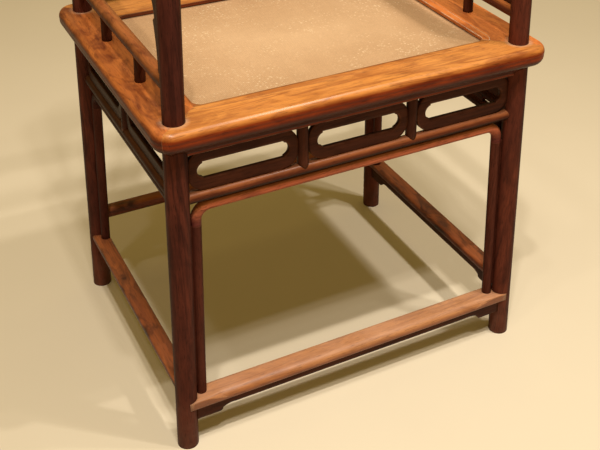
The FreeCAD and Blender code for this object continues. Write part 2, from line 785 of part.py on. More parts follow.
def stretcher_apron(side, z, width, thickness):
    # Shallow board under a stretcher, with a dropped and cusped lobe against each leg
    under = up_side(side, z) - thickness / 2
    half = half_span(side, z)
    low = under - apron_end_drop
    edges = [line(V(-half, under, 0), V(half, under, 0))]
    for end in (1, -1):
        face = end * clear_half(side, end, z)
        tip = V(face - end * apron_lobe_length, low, 0)
        lobe = tip + V(end * apron_lobe_round, 0, 0)
        cusp = tip + V(0, apron_lobe_round, 0)
        rise = V(face - end * apron_end_length, under - apron_drop, 0)
        edges += [
            line(V(end * half, under, 0), V(end * half, low, 0)),
            line(V(end * half, low, 0), lobe),
            quarter_arc(lobe, cusp, tip),
            quarter_arc(cusp, rise, V(cusp.x, rise.y, 0)),
            line(rise, V(0, rise.y, 0)),
        ]
    board = plate(Part.sortEdges(edges)[0], apron_thickness)
    inset = front_apron_inset if side == "front" else side_apron_inset
    out = V(0, 0, width / 2 - inset - apron_thickness / 2)
    clear = min(clear_half(side, -1, z), clear_half(side, 1, z)) - apron_tongue
    half_tongue = apron_tongue_thickness / 2
    tongue = block(-clear, clear, under - apron_drop / 2, under + apron_tongue, -half_tongue, half_tongue)
    groove = block(-clear - fit, clear + fit, under - apron_drop / 2, under + apron_tongue + end_gap,
                   -half_tongue - fit, half_tongue + fit)
    for shape in (board, tongue, groove):
        shape.translate(out)
    add_pocket("stretcher_" + side, on_side(groove, side))
    board = scribed(on_side(board, side), side)
    if side != "front":
        # The lobe beside the front leg is fitted over the end of the front stretcher
        board = largest(board.cut(pieces["stretcher_front"]))
    return board.fuse(on_side(tongue, side)).removeSplitter()


stretchers = {
    "front": (front_stretcher_height, front_stretcher_width, front_stretcher_thickness),
    "left": (side_stretcher_height, side_stretcher_width, side_stretcher_thickness),
    "right": (side_stretcher_height, side_stretcher_width, side_stretcher_thickness),
    "back": (back_stretcher_height, back_stretcher_width, back_stretcher_thickness),
}


def make_stretchers():
    for side, (z, width, thickness) in stretchers.items():
        if side == "front":
            bar = stretcher_bar(side, z, width, thickness, foot_rest_round)
            bar = bar.cut(foot_wear(side, z, width, thickness))
        else:
            bar = stretcher_bar(side, z, width, thickness, stretcher_round)
        tenoned_rail("stretcher_" + side, side, z, bar, stretcher_tenon_height, stretcher_tenon_thickness)
        if side != "back":
            pieces["stretcher_apron_" + side] = stretcher_apron(side, z, width, thickness)


# Rod arches between the base rails, the legs and the stretchers


def beside_leg(side, end, distance):
    # A straight line in the side's plane at a steady distance from the face of the leg
    low = V(end * half_span(side, 0), 0, 0)
    high = V(end * half_span(side, frame_bottom), up_side(side, frame_bottom), 0)
    axis = (high - low).normalize()
    inward = V(-end * axis.y, end * axis.x, 0)
    low = low + inward * (foot_diameter / 2)
    high = high + inward * (leg_top_diameter / 2)
    run = (high - low).normalize()
    return low + V(-end * run.y, end * run.x, 0) * distance, run


def at_height(place, v):
    point, run = place
    return point + run * ((v - point.y) / run.y)


def beside_run(start, run, end, length, depth, half, grow):
    # A board in the side's plane along a post, from its axis out towards the leg
    outward = V(end * run.y, -end * run.x, 0)
    board = block(-grow, length + grow, 0, depth, -half - grow, half + grow)
    matrix = FreeCAD.Matrix(run.x, outward.x, 0, start.x, run.y, outward.y, 0, start.y,
                            0, 0, -end, 0, 0, 0, 0, 1)
    board.Placement = FreeCAD.Placement(matrix)
    return board


def square_pin(start, run, length, grow):
    half = rod_tenon_width / 2 + grow
    pin = block(-half, half, -half, half, 0, length)
    pin.Placement = FreeCAD.Placement(start, FreeCAD.Rotation(V(0, 0, 1), run))
    return pin


def make_rod_arch(side):
    radius = rod_diameter / 2
    z, width, thickness = stretchers[side]
    stretcher_top = up_side(side, z) + thickness / 2
    rail = up_side(side, base_rail_height)
    rail_bottom = rail - base_rail_diameter / 2
    head = rail_bottom - rod_reveal - radius
    joint = head - rod_bend_radius - rod_end_length
    half = rod_web_thickness / 2
    half_tongue = rod_tongue_thickness / 2

    def placed(shape):
        moved = shape.copy()
        moved.translate(V(0, 0, -rod_setback))
        return on_side(moved, side)

    # The head: a bent rod, and between its bends a web and a tongue up to the rail
    lines = {end: beside_leg(side, end, rod_reveal + radius) for end in (-1, 1)}
    head_points = [at_height(lines[-1], joint), at_height(lines[-1], head), at_height(lines[1], head),
                   at_height(lines[1], joint)]
    straight = head_points[2].x - 2 * rod_bend_radius
    web = block(-straight, straight, head, rail, -half, half)
    body = placed(bent_rod(head_points, radius, rod_bend_radius).fuse(web))
    body = largest(body.cut(on_side(round_bar(side, base_rail_height, base_rail_diameter), side)))
    tip = rail_bottom + rod_tongue_depth
    tongue = block(-straight, straight, head, tip, -half_tongue, half_tongue)
    groove = block(-straight - fit, straight + fit, head, tip + end_gap, -half_tongue - fit,
                   half_tongue + fit)
    add_pocket("base_rail_" + side, placed(groove))
    pieces["rod_arch_head_" + side] = body.fuse(placed(tongue)).removeSplitter()

    # The posts, which stand on the stretcher and lie in a groove of the leg
    posts = []
    for end, corner in ((-1, sides[side][0]), (1, sides[side][1])):
        run = lines[end][1]
        foot = at_height(lines[end], stretcher_top - thickness / 2)
        clear = at_height(lines[end], stretcher_top + rod_diameter)
        top = at_height(lines[end], joint)
        length = (top - clear).Length
        post = rod_between(foot, top, radius, radius)
        web_depth = radius + rod_reveal + foot_diameter / 2
        post = post.fuse(beside_run(clear, run, end, length, web_depth, half, 0))
        post = largest(scribed(placed(post), side).cut(pieces["stretcher_" + side]))
        depth = radius + rod_reveal + rod_tongue_depth
        tongue = placed(beside_run(clear, run, end, length, depth, half_tongue, 0))
        groove = beside_run(clear, run, end, length, depth + end_gap, half_tongue, fit)
        add_pocket("leg_" + corner, placed(groove))
        low = at_height(lines[end], stretcher_top - rod_tenon_length)
        pin_length = rod_tenon_length + radius
        foot_pin = placed(square_pin(low, run, pin_length, 0))
        add_pocket("stretcher_" + side, placed(square_pin(low - run * end_gap, run, pin_length, fit)))
        head_pin = placed(square_pin(top - run * radius, run, pin_length, 0))
        socket = square_pin(top - run * radius, run, pin_length + end_gap, fit)
        add_pocket("rod_arch_head_" + side, placed(socket))
        posts.append(post.fuse([tongue, foot_pin, head_pin]).removeSplitter())
    pieces["rod_arch_posts_" + side] = group(posts)


whole_frame = make_frame_body()
legs = {corner: make_leg(corner, whole_frame) for corner in corners}
make_seat_frame(whole_frame)
make_woven_seat()
make_braces()
make_arms_and_crest()
make_low_rails()
make_arch_aprons()
for side_name in ("front", "back"):
    make_base(side_name, (-base_strut_spacing / 2, base_strut_spacing / 2))
for side_name in ("left", "right"):
    make_base(side_name, (0,))
make_stretchers()
for side_name in ("front", "left", "right"):
    make_rod_arch(side_name)
for corner_name, leg in legs.items():
    pieces["leg_" + corner_name] = leg.fuse(tenon_on_post(corner_name, 0))

os.makedirs("parts", exist_ok=True)
for piece_name, piece in pieces.items():
    if piece_name in pockets:
        piece = piece.cut(group(pockets[piece_name]))
    piece.exportStep("parts/" + piece_name + ".step")
print(len(pieces), "pieces")
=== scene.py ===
import bpy
import math
from mathutils import Euler, Matrix, Vector


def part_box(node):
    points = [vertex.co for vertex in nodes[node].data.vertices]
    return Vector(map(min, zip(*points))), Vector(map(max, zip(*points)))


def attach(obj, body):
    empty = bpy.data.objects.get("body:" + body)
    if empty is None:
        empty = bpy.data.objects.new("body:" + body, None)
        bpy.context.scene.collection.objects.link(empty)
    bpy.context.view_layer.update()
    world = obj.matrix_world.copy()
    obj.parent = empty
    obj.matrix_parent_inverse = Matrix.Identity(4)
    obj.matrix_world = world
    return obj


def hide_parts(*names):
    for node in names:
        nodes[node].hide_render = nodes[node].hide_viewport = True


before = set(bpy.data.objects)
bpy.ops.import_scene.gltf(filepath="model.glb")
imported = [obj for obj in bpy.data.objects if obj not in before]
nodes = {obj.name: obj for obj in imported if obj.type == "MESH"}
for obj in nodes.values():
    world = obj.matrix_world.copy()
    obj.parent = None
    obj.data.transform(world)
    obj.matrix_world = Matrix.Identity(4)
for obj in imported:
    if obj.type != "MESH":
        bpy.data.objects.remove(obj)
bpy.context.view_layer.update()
print("frame loaded,", len(nodes), "nodes")


# small helpers for shader trees

def solid(color):
    return (*color, 1.0)


def fill(tree, node, inputs):
    for name, value in inputs.items():
        if isinstance(value, bpy.types.NodeSocket):
            tree.links.new(value, node.inputs[name])
        else:
            node.inputs[name].default_value = value


def put(tree, kind, inputs=None, **settings):
    node = tree.nodes.new("ShaderNode" + kind)
    for name, value in settings.items():
        setattr(node, name, value)
    fill(tree, node, inputs or {})
    return node


def calc(tree, operation, first, second=0.0):
    return put(tree, "Math", {0: first, 1: second}, operation=operation).outputs[0]


def times(tree, value, *factors):
    for factor in factors:
        value = calc(tree, "MULTIPLY", value, factor)
    return value


def vectorCalc(tree, operation, first, second=(0.0, 0.0, 0.0), output="Vector"):
    return put(tree, "VectorMath", {0: first, 1: second}, operation=operation).outputs[output]


def upPart(tree, vector):
    return put(tree, "SeparateXYZ", {0: vector}).outputs["Z"]


def remap(tree, value, ends, results=(0.0, 1.0)):
    inputs = {"Value": value, "From Min": ends[0], "From Max": ends[1],
              "To Min": results[0], "To Max": results[1]}
    return put(tree, "MapRange", inputs).outputs["Result"]


def choose(tree, amount, first, second):
    return put(tree, "Mix", {0: amount, 2: first, 3: second}, data_type="FLOAT").outputs[0]


def blend(tree, amount, first, second, blendType="MIX"):
    inputs = {0: amount, 6: first, 7: second}
    return put(tree, "Mix", inputs, data_type="RGBA", blend_type=blendType).outputs[2]


def noise(tree, vector, look, output="Fac"):
    # a stretch draws the noise out along the first axis of the vector
    if "stretch" in look:
        along, across = look["stretch"]
        vector = put(tree, "Mapping", {"Vector": vector, "Scale": (along, across, across)}).outputs["Vector"]
    inputs = {"Vector": vector, "Scale": look.get("scale", 1.0), "Detail": look["detail"],
              "Roughness": look.get("roughness", 0.5), "Distortion": look.get("distortion", 0.0)}
    return put(tree, "TexNoise", inputs).outputs[output]


def cloud(tree, vector, look):
    return remap(tree, noise(tree, vector, look), look["range"], (look.get("least", 0.0), 1.0))


def bump(tree, settings, inputs):
    inputs = dict(inputs, Strength=settings["bumpStrength"], Distance=settings["bumpDepth"])
    return put(tree, "Bump", inputs).outputs["Normal"]


def newGroup(name, inputs, outputs):
    tree = bpy.data.node_groups.new(name, "ShaderNodeTree")
    for label, kind in inputs.items():
        tree.interface.new_socket(label, in_out="INPUT", socket_type="NodeSocket" + kind)
    for label, kind in outputs.items():
        tree.interface.new_socket(label, in_out="OUTPUT", socket_type="NodeSocket" + kind)
    source = tree.nodes.new("NodeGroupInput").outputs
    target = tree.nodes.new("NodeGroupOutput")
    return tree, source, target


def useGroup(tree, group, inputs):
    return put(tree, "Group", inputs, node_tree=group).outputs


def newMaterial(name):
    material = bpy.data.materials.new(name)
    material.use_nodes = True
    tree = material.node_tree
    place = put(tree, "TexCoord").outputs["Object"]
    return material, tree, tree.nodes["Principled BSDF"], place


# small helpers for meshes

def middleAndHalf(name):
    low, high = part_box(name)
    middle = [(start + end) / 2 for start, end in zip(low, high)]
    half = [(end - start) / 2 for start, end in zip(low, high)]
    return middle, half


def makePiece(name, points, faces):
    mesh = bpy.data.meshes.new(name)
    mesh.from_pydata(points, [], faces)
    mesh.shade_smooth()
    piece = bpy.data.objects.new(name, mesh)
    bpy.context.collection.objects.link(piece)
    return piece


# wood grain, shared by every wood

grainSettings = {
    "wander": {"stretch": (3.0, 9.0), "detail": 2.0},
    "wanderReach": (0.0, 0.012, 0.012),
    "figure": {"stretch": (2.6, 34.0), "detail": 3.0, "roughness": 0.55, "distortion": 0.35},
    "figureTurns": 56.0,
    "figureSharpness": 2.6,
    "figureGroups": {"stretch": (3.2, 22.0), "detail": 2.0, "range": (0.42, 0.66)},
    "patches": {"stretch": (4.0, 18.0), "detail": 4.0, "roughness": 0.6, "range": (0.30, 0.70)},
    "mottle": {"stretch": (17.0, 46.0), "detail": 4.0, "roughness": 0.6, "distortion": 0.9,
               "range": (0.46, 0.66)},
    "fibre": {"stretch": (14.0, 420.0), "detail": 3.0, "roughness": 0.65, "range": (0.28, 0.72)},
    "pores": {"stretch": (70.0, 1100.0), "detail": 1.0, "range": (0.60, 0.70)},
    "poreColor": (0.012, 0.006, 0.004),
    "fibreHeight": 0.35,
    "patchPolish": 0.10,
    "fibrePolish": 0.08,
}


def makeWoodGrain(settings):
    # the grain runs along the first axis of the vector, in metres
    tree, source, target = newGroup(
        "woodGrain",
        {"Vector": "Vector", "Dark": "Color", "Middle": "Color", "Light": "Color",
         "Figure": "Float", "Mottle": "Float", "Fibre": "Float", "Pores": "Float"},
        {"Color": "Color", "Height": "Float", "Polish": "Float"})
    wander = noise(tree, source["Vector"], settings["wander"], "Color")
    wander = vectorCalc(tree, "MULTIPLY", wander, settings["wanderReach"])
    bent = vectorCalc(tree, "ADD", source["Vector"], wander)
    bands = times(tree, noise(tree, bent, settings["figure"]), settings["figureTurns"])
    bands = remap(tree, calc(tree, "SINE", bands), (-1.0, 1.0))
    bands = calc(tree, "POWER", bands, settings["figureSharpness"])
    patches = cloud(tree, bent, settings["patches"])
    fibre = cloud(tree, bent, settings["fibre"])
    mottleShade = times(tree, cloud(tree, bent, settings["mottle"]), source["Mottle"])
    figureShade = times(tree, bands, cloud(tree, bent, settings["figureGroups"]), source["Figure"])
    fibreShade = times(tree, fibre, source["Fibre"])
    poreShade = times(tree, cloud(tree, bent, settings["pores"]), source["Pores"])
    color = blend(tree, patches, source["Middle"], source["Light"])
    for shade in (mottleShade, figureShade, fibreShade):
        color = blend(tree, shade, color, source["Dark"])
    color = blend(tree, poreShade, color, solid(settings["poreColor"]))
    height = calc(tree, "SUBTRACT", times(tree, fibre, settings["fibreHeight"]), poreShade)
    patchPolish = times(tree, patches, settings["patchPolish"])
    polish = calc(tree, "ADD", patchPolish, times(tree, fibre, settings["fibrePolish"]))
    fill(tree, target, {"Color": color, "Height": height, "Polish": polish})
    return tree


# rubbed edges; the same edge mask carries a painted highlight on one binding strip

edgeSettings = {
    "samples": 8,
    "turnedAway": (0.985, 0.86),  # how alike the two normals are, from no wear to full
    "rub": {"scale": 46.0, "detail": 4.0, "roughness": 0.6, "range": (0.36, 0.62)},
}


def makeEdgeWear(settings):
    # where the rounded normal leaves the face normal there is an edge, broken up by rubbing
    tree, source, target = newGroup(
        "edgeWearAndHighlight", {"Vector": "Vector", "Radius": "Float", "Amount": "Float"},
        {"Mask": "Float", "Normal": "Vector"})
    rounded = put(tree, "Bevel", {"Radius": source["Radius"]}, samples=settings["samples"]).outputs["Normal"]
    faceNormal = put(tree, "NewGeometry").outputs["Normal"]
    same = vectorCalc(tree, "DOT_PRODUCT", rounded, faceNormal, "Value")
    edge = remap(tree, same, settings["turnedAway"])
    rub = cloud(tree, source["Vector"], settings["rub"])
    fill(tree, target, {"Mask": times(tree, edge, rub, source["Amount"]), "Normal": rounded})
    return tree


# bloom and a painted sheen on the tops, with masks for the painted shade on the sides and the undersides

bloomSheenAndShadeSettings = {
    # the up part of the normal, from none of each mask to all of it
    "top": (0.55, 0.98),
    "side": (0.66, 0.18),
    "under": (0.05, -0.45),
    "clouds": {"scale": 17.0, "detail": 5.0, "roughness": 0.62, "range": (0.30, 0.70), "least": 0.25},
}


def makeTopBloomAndSheen(settings):
    # wax bloom and fine dust on the faces that look up, with a painted sheen on them; the masks for the sides
    # and the undersides carry painted shade
    tree, source, target = newGroup(
        "topBloomAndSheen", {"Vector": "Vector", "Normal": "Vector", "Amount": "Float"},
        {"Mask": "Float", "Side": "Float", "Under": "Float"})
    up = upPart(tree, source["Normal"])
    clouds = cloud(tree, source["Vector"], settings["clouds"])
    mask = times(tree, remap(tree, up, settings["top"]), clouds, source["Amount"])
    side = remap(tree, up, settings["side"])
    under = remap(tree, up, settings["under"])
    fill(tree, target, {"Mask": mask, "Side": side, "Under": under})
    return tree


# scuffed feet

scuffSettings = {
    "heights": (0.095, 0.005),  # above the floor, from no scuff to full
    "rub": {"scale": 55.0, "detail": 5.0, "roughness": 0.65, "range": (0.35, 0.65), "least": 0.25},
    "color": (0.170, 0.090, 0.064),
}


def makeFootScuff(settings):
    # brooms and damp pale the ends of the legs
    tree, source, target = newGroup("footScuff", {"Vector": "Vector", "Amount": "Float"}, {"Mask": "Float"})
    near = remap(tree, upPart(tree, source["Vector"]), settings["heights"])
    rub = cloud(tree, source["Vector"], settings["rub"])
    fill(tree, target, {"Mask": times(tree, near, rub, source["Amount"])})
    return tree


# dust round the posts, on the top of the seat frame

dustSettings = {
    "postInset": (0.03225, 0.03235),  # from the outside of the seat frame to the middle of a post
    "ring": (0.0205, 0.0140),  # from the middle of the post, from no dust to full
    "depths": (0.0030, 0.0005),  # below the top of the frame, from no dust to full
    "clouds": {"scale": 60.0, "detail": 4.0, "roughness": 0.6, "range": (0.35, 0.65), "least": 0.2},
    "color": (0.60, 0.42, 0.30),
}


def makePostDust(settings):
    # pale dust that a cloth leaves in the corner round each post; all four quarters are alike
    tree, source, target = newGroup(
        "postDust", {"Vector": "Vector", "Post": "Vector", "Top": "Float"}, {"Mask": "Float"})
    flat = vectorCalc(tree, "MULTIPLY", source["Vector"], (1.0, 1.0, 0.0))
    quarter = vectorCalc(tree, "ABSOLUTE", flat)
    away = vectorCalc(tree, "DISTANCE", quarter, source["Post"], "Value")
    depth = calc(tree, "SUBTRACT", source["Top"], upPart(tree, source["Vector"]))
    clouds = cloud(tree, source["Vector"], settings["clouds"])
    onTop = remap(tree, depth, settings["depths"])
    fill(tree, target, {"Mask": times(tree, remap(tree, away, settings["ring"]), clouds, onTop)})
    return tree


# painted sheen in the middle of the seat and painted shade along its edges, measured from the edge of the mat
# that shows

seatBandSettings = {
    "bindingWidth": 0.01085,
    # inwards from that edge, from none of each mask to all of it
    "bands": {"Middle": (0.02, 0.15), "Edge": (0.0035, 0.0005), "Lip": (-0.0034, -0.0008)},
    "clouds": {"scale": 11.0, "detail": 5.0, "roughness": 0.6, "range": (0.30, 0.70), "least": 0.45},
    "lipShade": (0.085, 0.028, 0.012),
}


def makeSeatBands(settings):
    # paler in the middle, a painted sheen, and painted shade along the edge where the mat meets the binding
    # strips
    tree, source, target = newGroup(
        "seatBands", {"Vector": "Vector", "Half": "Vector"}, dict.fromkeys(settings["bands"], "Float"))
    within = vectorCalc(tree, "SUBTRACT", source["Half"], vectorCalc(tree, "ABSOLUTE", source["Vector"]))
    parts = put(tree, "SeparateXYZ", {0: within}).outputs
    inside = calc(tree, "MINIMUM", parts["X"], parts["Y"])
    clouds = cloud(tree, source["Vector"], settings["clouds"])
    for label, band in settings["bands"].items():
        fill(tree, target, {label: times(tree, remap(tree, inside, band), clouds)})
    return tree


woodGrain = makeWoodGrain(grainSettings)
edgeWearAndHighlight = makeEdgeWear(edgeSettings)
topBloomAndSheen = makeTopBloomAndSheen(bloomSheenAndShadeSettings)
footScuff = makeFootScuff(scuffSettings)
postDust = makePostDust(dustSettings)
seatBands = makeSeatBands(seatBandSettings)
print("shared effects made")


# wood finishes: dark legs and ornament, redder rods, an orange seat frame, and stretchers worn by feet

# side is painted shade multiplied into faces that turn away from up, under is painted shade on faces that
# look down, rim is painted shade towards the outline
plainWood = {
    "side": (1.0, 1.0, 1.0), "scuff": 0.0, "rim": 0.0, "coat": 0.0,
    "under": 0.0, "dust": 0.0, "lip": 0.0, "bent": False,
}
legWood = dict(
    plainWood, dark=(0.022, 0.0068, 0.0058), middle=(0.080, 0.0205, 0.0140), light=(0.165, 0.041, 0.0225),
    figure=0.60, mottle=0.45, fibre=0.40, pores=0.55, wearAndHighlight=(0.26, 0.080, 0.034), wearAndHighlightAmount=0.35,
    bloomAndSheen=(0.32, 0.14, 0.085), bloomAndSheenAmount=0.10, rough=0.34, gloss=0.04, edgeRadius=0.0016,
    scuff=0.38, rim=0.85)
archPostWood = dict(
    legWood, dark=(0.028, 0.0068, 0.0048), middle=(0.064, 0.0165, 0.0115), light=(0.120, 0.032, 0.0185))
rodWood = dict(
    plainWood, dark=(0.090, 0.020, 0.009), middle=(0.290, 0.084, 0.029), light=(0.420, 0.142, 0.048),
    figure=0.60, mottle=0.50, fibre=0.35, pores=0.50, wearAndHighlight=(0.56, 0.25, 0.12), wearAndHighlightAmount=0.35,
    bloomAndSheen=(0.60, 0.31, 0.19), bloomAndSheenAmount=0.20, rough=0.30, gloss=0.06, coat=0.30, edgeRadius=0.0012,
    side=(0.40, 0.31, 0.38), rim=0.6)
# archWood is painted lighter than rodWood: painted light on the front rod head, which sits in its rail's
# shadow
archWood = dict(
    rodWood, middle=(0.530, 0.150, 0.056), light=(0.670, 0.222, 0.084), side=(0.90, 0.80, 1.00),
    wearAndHighlightAmount=0.12, rim=0.35, bent=True)
# a darker, greyer copy of rodWood: painted shade for the side base rails and rod heads
paintedShadeRodWood = dict(
    rodWood, dark=(0.030, 0.010, 0.006), middle=(0.110, 0.033, 0.015), light=(0.190, 0.058, 0.025),
    gloss=0.05, coat=0.0)
ornamentWood = dict(
    plainWood, dark=(0.009, 0.0032, 0.0025), middle=(0.052, 0.0140, 0.0082), light=(0.104, 0.029, 0.0145),
    figure=0.40, mottle=0.40, fibre=0.35, pores=0.45, wearAndHighlight=(0.24, 0.085, 0.040), wearAndHighlightAmount=0.35,
    bloomAndSheen=(0.30, 0.14, 0.08), bloomAndSheenAmount=0.16, rough=0.32, gloss=0.06, edgeRadius=0.0060, rim=0.9)
seatWood = dict(
    plainWood, dark=(0.250, 0.060, 0.011), middle=(0.550, 0.185, 0.033), light=(0.690, 0.285, 0.062),
    figure=0.80, mottle=0.55, fibre=0.30, pores=0.45, wearAndHighlight=(0.74, 0.40, 0.20), wearAndHighlightAmount=0.40,
    bloomAndSheen=(0.74, 0.44, 0.24), bloomAndSheenAmount=0.08, rough=0.33, gloss=0.12, coat=0.33, edgeRadius=0.0012,
    side=(0.37, 0.14, 0.10))
sideSeatWood = dict(
    seatWood, dark=(0.270, 0.050, 0.010), middle=(0.640, 0.165, 0.030), light=(0.760, 0.255, 0.055),
    figure=0.30, mottle=0.70, wearAndHighlight=(0.66, 0.33, 0.16), bloomAndSheen=(0.66, 0.35, 0.20), side=(0.26, 0.185, 0.33))
leftSeatWood = dict(
    sideSeatWood, dark=(0.150, 0.026, 0.007), middle=(0.470, 0.116, 0.021), light=(0.610, 0.190, 0.039),
    mottle=0.95)
lowRailWood = dict(
    sideSeatWood, dark=(0.120, 0.024, 0.007), middle=(0.350, 0.091, 0.021), light=(0.450, 0.152, 0.040),
    mottle=0.90)
# the right binding strip is painted pale along its edge, a painted highlight for the light its inner edge
# catches, and its sides take little painted shade
litBindingWood = dict(
    sideSeatWood, wearAndHighlight=(0.86, 0.66, 0.47), wearAndHighlightAmount=0.95, edgeRadius=0.0026, side=(0.9, 0.9, 0.9))
footRestWood = dict(
    plainWood, dark=(0.200, 0.064, 0.024), middle=(0.480, 0.185, 0.062), light=(0.590, 0.275, 0.112),
    figure=0.55, mottle=0.40, fibre=0.35, pores=0.45, wearAndHighlight=(0.66, 0.38, 0.23), wearAndHighlightAmount=0.45,
    bloomAndSheen=(0.70, 0.40, 0.27), bloomAndSheenAmount=0.35, rough=0.34, gloss=0.42, edgeRadius=0.0050,
    side=(0.50, 0.40, 0.46))
stretcherWood = dict(
    plainWood, dark=(0.040, 0.011, 0.008), middle=(0.250, 0.058, 0.022), light=(0.520, 0.155, 0.040),
    figure=0.50, mottle=0.92, fibre=0.35, pores=0.50, wearAndHighlight=(0.42, 0.17, 0.08), wearAndHighlightAmount=0.35,
    bloomAndSheen=(0.42, 0.20, 0.12), bloomAndSheenAmount=0.12, rough=0.36, gloss=0.30, edgeRadius=0.0060,
    side=(0.43, 0.33, 0.52), rim=0.4)

# what all the woods have in common
woodSettings = {
    "pieceShift": (7.0, 3.0, 5.0),
    "grainTurns": {"x": (0.0, 0.0, 0.0), "y": (0.0, 0.0, -math.pi / 2), "z": (0.0, math.pi / 2, 0.0)},
    "underShade": (0.016, 0.0075, 0.005),
    "rimFacing": (0.30, 0.95),
    "rimShade": (0.30, 0.22, 0.24),
    "bloomRough": 0.18,
    "sideCoat": 0.15,
    "coatRough": 0.26,
    "bumpStrength": 0.25,
    "bumpDepth": 0.0004,
}

# the bent head of the front rod arch, close under its rail
bendSettings = {
    "head": "rod_arch_head_front",
    "rail": "base_rail_front",
    "tint": (0.30, 0.25, 0.40),
    "belowTop": 0.0165,  # where the deeper colour starts
    "aboveEnd": 0.006,  # where it is full
    "gap": (0.0036, 0.0024),  # below the rail's underside, from no painted shade to full
    "gapShadeColor": (0.010, 0.0048, 0.0034),
}


def bandsOnSeat(tree, place):
    # measured from the middle of the mat that shows between the binding strips
    middle, half = middleAndHalf("cane_mat")
    shown = (half[0] - seatBandSettings["bindingWidth"], half[1] - seatBandSettings["bindingWidth"], half[2])
    fromMiddle = vectorCalc(tree, "SUBTRACT", place, middle)
    return useGroup(tree, seatBands, {"Vector": fromMiddle, "Half": shown})


def dustOnSeat(tree, place):
    insetX, insetY = dustSettings["postInset"]
    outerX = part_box("seat_rail_right")[1][0]
    outerY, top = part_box("seat_rail_back")[1][1:]
    post = (outerX - insetX, outerY - insetY, 0.0)
    return useGroup(tree, postDust, {"Vector": place, "Post": post, "Top": top})


def bentColor(tree, place, color, settings):
    # the bent ends are as deep as the posts they meet, and painted shade fills the narrow gap under the rail
    low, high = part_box(settings["head"])
    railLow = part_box(settings["rail"])[0][2]
    height = upPart(tree, place)
    ends = remap(tree, height, (high[2] - settings["belowTop"], low[2] + settings["aboveEnd"]))
    color = blend(tree, ends, color, solid(settings["tint"]), "MULTIPLY")
    gap = remap(tree, height, [railLow - depth for depth in settings["gap"]])
    return blend(tree, gap, color, solid(settings["gapShadeColor"]))


def woodColor(tree, place, finish, grain, edge, top):
    # painted shade on the sides: the side tint darkens faces as they turn away from the lamps overhead
    color = blend(tree, top["Side"], grain["Color"], solid(finish["side"]), "MULTIPLY")
    if finish["under"]:
        # painted shade on the faces that look down, under the frame and the rails
        underShade = times(tree, top["Under"], finish["under"])
        color = blend(tree, underShade, color, solid(woodSettings["underShade"]))
    if finish["bent"]:
        color = bentColor(tree, place, color, bendSettings)
    if finish["rim"]:
        # painted shade: round pieces are painted darker towards their outline, as if lit from the front
        facing = put(tree, "LayerWeight", {"Normal": edge["Normal"]}).outputs["Facing"]
        rim = times(tree, remap(tree, facing, woodSettings["rimFacing"]), finish["rim"])
        color = blend(tree, rim, color, solid(woodSettings["rimShade"]), "MULTIPLY")
    # wax bloom on the tops, with a painted sheen
    color = blend(tree, top["Mask"], color, solid(finish["bloomAndSheen"]))
    if finish["scuff"]:
        scuff = useGroup(tree, footScuff, {"Vector": place, "Amount": finish["scuff"]})["Mask"]
        color = blend(tree, scuff, color, solid(scuffSettings["color"]))
    # rubbed edges in real wear; on the right binding strip this colour is a painted highlight
    color = blend(tree, edge["Mask"], color, solid(finish["wearAndHighlight"]))
    if finish["dust"]:
        dust = times(tree, dustOnSeat(tree, place)["Mask"], finish["dust"])
        color = blend(tree, dust, color, solid(dustSettings["color"]))
    # painted shade: a dark line along the binding strips beside the mat
    if finish["lip"]:
        lip = times(tree, bandsOnSeat(tree, place)["Lip"], finish["lip"])
        color = blend(tree, lip, color, solid(seatBandSettings["lipShade"]))
    return color


def woodMaterial(name, finish, grainAxis):
    material, tree, surface, place = newMaterial(name)
    pieceNumber = put(tree, "ObjectInfo").outputs["Random"]
    offset = vectorCalc(tree, "MULTIPLY", pieceNumber, woodSettings["pieceShift"])
    grainTurn = woodSettings["grainTurns"][grainAxis]
    turned = put(tree, "Mapping", {"Vector": place, "Rotation": grainTurn}).outputs["Vector"]
    along = vectorCalc(tree, "ADD", turned, offset)
    grain = useGroup(tree, woodGrain, {
        "Vector": along, "Dark": solid(finish["dark"]), "Middle": solid(finish["middle"]),
        "Light": solid(finish["light"]), "Figure": finish["figure"], "Mottle": finish["mottle"],
        "Fibre": finish["fibre"], "Pores": finish["pores"]})
    edge = useGroup(tree, edgeWearAndHighlight, {
        "Vector": along, "Radius": finish["edgeRadius"], "Amount": finish["wearAndHighlightAmount"]})
    top = useGroup(tree, topBloomAndSheen, {
        "Vector": along, "Normal": edge["Normal"], "Amount": finish["bloomAndSheenAmount"]})
    rough = calc(tree, "ADD", grain["Polish"], finish["rough"])
    rough = calc(tree, "ADD", rough, times(tree, top["Mask"], woodSettings["bloomRough"]))
    fill(tree, surface, {
        "Base Color": woodColor(tree, place, finish, grain, edge, top),
        "Roughness": rough,
        "Normal": bump(tree, woodSettings, {"Height": grain["Height"], "Normal": edge["Normal"]}),
        "Specular IOR Level": finish["gloss"]})
    if finish["coat"]:
        # hands and cloths polish the tops, and the sides and undersides stay dull
        sideCoat = finish["coat"] * woodSettings["sideCoat"]
        polish = remap(tree, top["Side"], (0.0, 1.0), (finish["coat"], sideCoat))
        fill(tree, surface, {"Coat Weight": polish, "Coat Roughness": woodSettings["coatRough"]})
    return material


# which finish and grain each CAD node takes; the first row that fits the name holds

